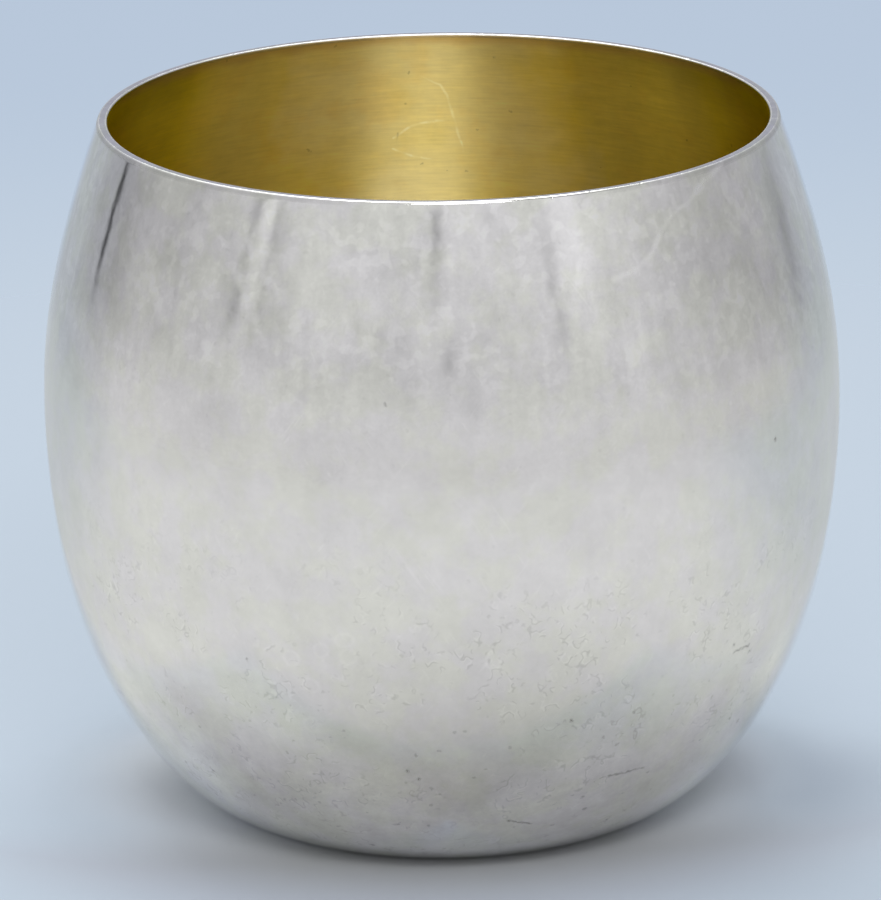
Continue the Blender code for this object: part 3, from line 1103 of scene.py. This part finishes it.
# %% Gold finish
ARC_SCRATCHES = [
    [(-172.3, 58.12), (-175.6, 59.20), (-180, 60.06), (177.7, 60.28)],
    [(-176.6, 65.16), (-178.7, 64.65), (179.6, 63.93), (178.4, 62.87), (177.2, 59.93), (176.2, 56.43)],
    [(-172.3, 56.84), (-175.6, 55.70), (-178.9, 55.29)],
]
DARK_TOUCHES = [[(-173.1, 58.56), (-172.8, 57.52)], [(-174.4, 61.80)], [(-108.7, 65.69)], [(117.4, 62.53)]]
# painted shade on the gold: near the top at the left and right, over the wash towards the left and right, and
# along the very top, which dims its glint
GOLD_TOP_SHADE = (0.0640, 0.0690)
GOLD_TOP_SHADE_TURNS = (0.60, 0.88, 0.28, 0.10)
GOLD_SHADE_LEFT_AND_RIGHT = (0.15, 0.60, 0.74, 1)
DARK_TOP = (HEIGHT - 0.0005, HEIGHT - 0.0002, 1.0, 0.55)
GOLD_SHEEN = (1.0, 0.88, 0.30, 1)


def gold_material():
    material, place, radius = new_metal("gold_wash")
    tree = material.node_tree
    x, y, z = parts(tree, place)
    wavering = unsteady(tree, place, **WAVERING)
    ragged = unsteady(tree, place, **RAGGED)
    towards_back_and_front = calc(tree, "ABSOLUTE", facing(tree, x, y, radius, PALE_BAND_TURN))
    colour, worn_and_highlight = gold_colour(tree, place, radius, towards_back_and_front)
    skipping = between(tree, noise(tree, place, size=0.0010, seed=70), 0.36, 0.56, 0.30, 0.85)
    arcs = times(tree, marks(tree, wavering, inside_of_wall, ARC_SCRATCHES, width=0.00022), skipping)
    colour = blend_colours(tree, arcs, colour, GOLD_RUBBED)

    dashes = sway(tree, noise(tree, place, size=0.00025, seed=63, stretch=(12, 12, 1)), 0.24)
    broad = sway(tree, noise(tree, place, size=0.0010, seed=64, stretch=(8, 8, 1)), 0.12)
    mottle = sway(tree, noise(tree, place, size=0.0030, seed=65, detail=4, rough=0.7), 0.24)
    specks = spots(tree, ragged, spacing=0.0032, radius=0.00022, seed=66)
    touches = marks(tree, wavering, inside_of_wall, DARK_TOUCHES, width=0.0002)
    tone = weighted(tree, total(tree, 1.0, dashes, broad, mottle, worn_and_highlight), (specks, -0.25), (touches, -0.30))
    # painted shade near the top at the sides, towards the left and right, and along the very top
    top_shade = times(tree, between(tree, z, *GOLD_TOP_SHADE), between(tree, towards_back_and_front, *GOLD_TOP_SHADE_TURNS))
    tone = times(tree, tone, between(tree, towards_back_and_front, *GOLD_SHADE_LEFT_AND_RIGHT), calc(tree, "SUBTRACT", 1.0, top_shade))
    tone = times(tree, tone, between(tree, z, *DARK_TOP))

    cloudy = sway(tree, noise(tree, place, size=0.005, seed=67, detail=3), 0.10)
    roughness = weighted(tree, calc(tree, "ADD", cloudy, 0.40), (dashes, 0.2))
    brushing = noise(tree, place, size=0.00025, seed=68, stretch=(22, 22, 1))
    ripples = noise(tree, place, size=0.004, seed=69)
    relief = total(tree, times(tree, brushing, 1.2), times(tree, ripples, 16.0))
    shader = finish_metal(tree, colour, tone, roughness, relief)
    shader.inputs["Specular Tint"].default_value = GOLD_SHEEN
    shader.inputs["Anisotropic"].default_value = 1.0
    shader.inputs["Anisotropic Rotation"].default_value = 0.25
    tangent = add(tree, "ShaderNodeTangent", direction_type="RADIAL", axis="Z")
    tree.links.new(tangent.outputs[0], shader.inputs["Tangent"])
    return material


gold = gold_material()

# %% [markdown]
# ## The two pieces
#
# Both are turned with the same waves, so that the film follows the sheet. Each one is then hung under the root,
# and the piece of the imported model that it stands for is hidden. The volume summed over a closed mesh is above
# zero when its faces point outwards.
# Here it comes out below zero: the faces point inwards, a fault that is still open. The render doesn't show it,
# and a Flip Faces node in the lathe, before the smoothing, would turn them.

# %% The two pieces
TURNING = {"Steps": 360, "Wave Depth": 50e-6, "Wave Scale": 90, "Seed": 3}
silver_cup = turned("silver_cup", silver_section(), silver, **TURNING)
gold_wash = turned("gold_wash", gold_section(), gold, **TURNING)


def volume(mesh):
    mesh.calc_loop_triangles()
    corners = [[mesh.vertices[i].co for i in triangle.vertices] for triangle in mesh.loop_triangles]
    return sum(a.dot(b.cross(c)) for a, b, c in corners) / 6


for piece in (silver_cup, gold_wash):
    print(f"{piece.name}: {len(piece.data.polygons)} faces, {1e6 * volume(piece.data):.2f} cm3")

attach(silver_cup, "root")
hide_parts("cup_body")
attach(gold_wash, "root")
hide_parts("gilt_lining")
